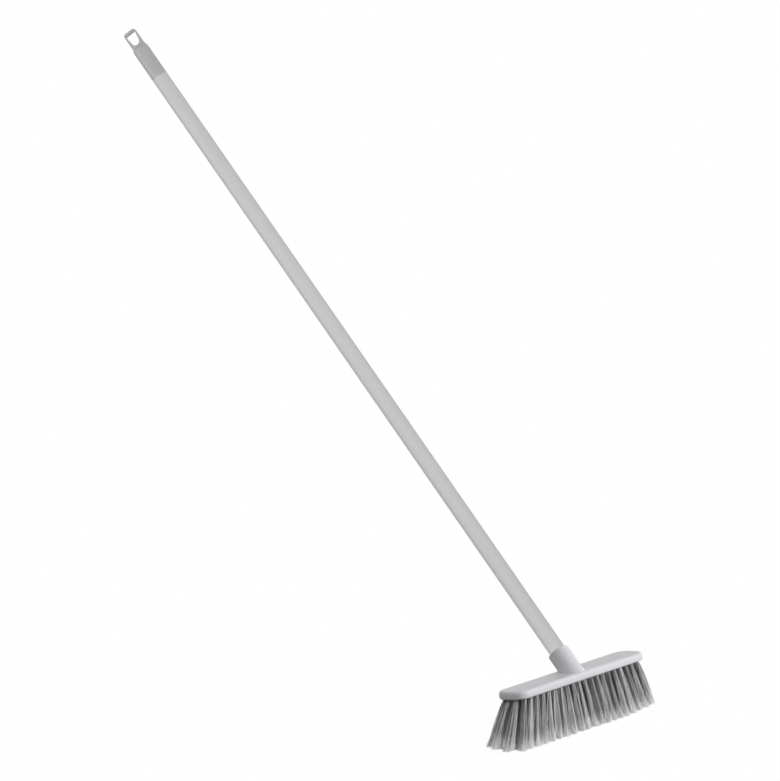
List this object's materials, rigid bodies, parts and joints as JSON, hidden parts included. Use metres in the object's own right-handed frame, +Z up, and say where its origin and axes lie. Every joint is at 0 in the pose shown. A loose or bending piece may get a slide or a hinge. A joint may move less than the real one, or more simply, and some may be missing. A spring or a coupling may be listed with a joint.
{
  "type": "push broom with screw-in handle",
  "caption": "Household broom: moulded head with rows of flared tufts and an angled socket, holding a coated steel handle that screws in and ends in a hanging loop.",
  "frame": {"origin": "on the floor under the middle of the head, in the plane of the tuft tips", "axes": "+X along the head, +Y back, the way the handle leans, +Z up from the floor"},
  "size_m": [0.3344, 0.7572, 1.0602],
  "materials": {
    "head_plastic": "moulded light grey polypropylene, satin",
    "filament": "grey flagged polyester filament",
    "anchor_wire": "flat galvanised wire",
    "tube_steel": "plain thin-wall tube",
    "coating_plastic": "light grey satin plastic coating",
    "fitting_plastic": "moulded grey polypropylene",
    "cap_plastic": "moulded mid grey polypropylene, satin"
  },
  "bodies": {
    "head": {"brush_block": "head_plastic", "tuft_row_front": "filament", "tuft_row_front_inner": "filament", "tuft_row_back_inner": "filament", "tuft_row_back": "filament", "anchors_front": "anchor_wire", "anchors_front_inner": "anchor_wire", "anchors_back_inner": "anchor_wire", "anchors_back": "anchor_wire"},
    "handle_core": {"steel_tube": "tube_steel"},
    "handle": {"handle_coating": "coating_plastic", "threaded_end": "fitting_plastic", "hanger_cap": "cap_plastic"}
  },
  "joints": [
    {"name": "handle_rise", "type": "slide", "parent": "head", "child": "handle_core", "axis": [0, 0.5948, 0.8039], "range_m": [0, 0.02]},
    {"name": "handle_turn", "type": "hinge", "parent": "handle_core", "child": "handle", "pos_m": [0, -0.0016, 0.0845], "axis": [0, 0.5948, 0.8039], "range_deg": [0, 1440]}
  ],
  "couplings": [
    {"joint": "handle_turn", "follows": "handle_rise", "rad_per_m": 1256.6}
  ]
}
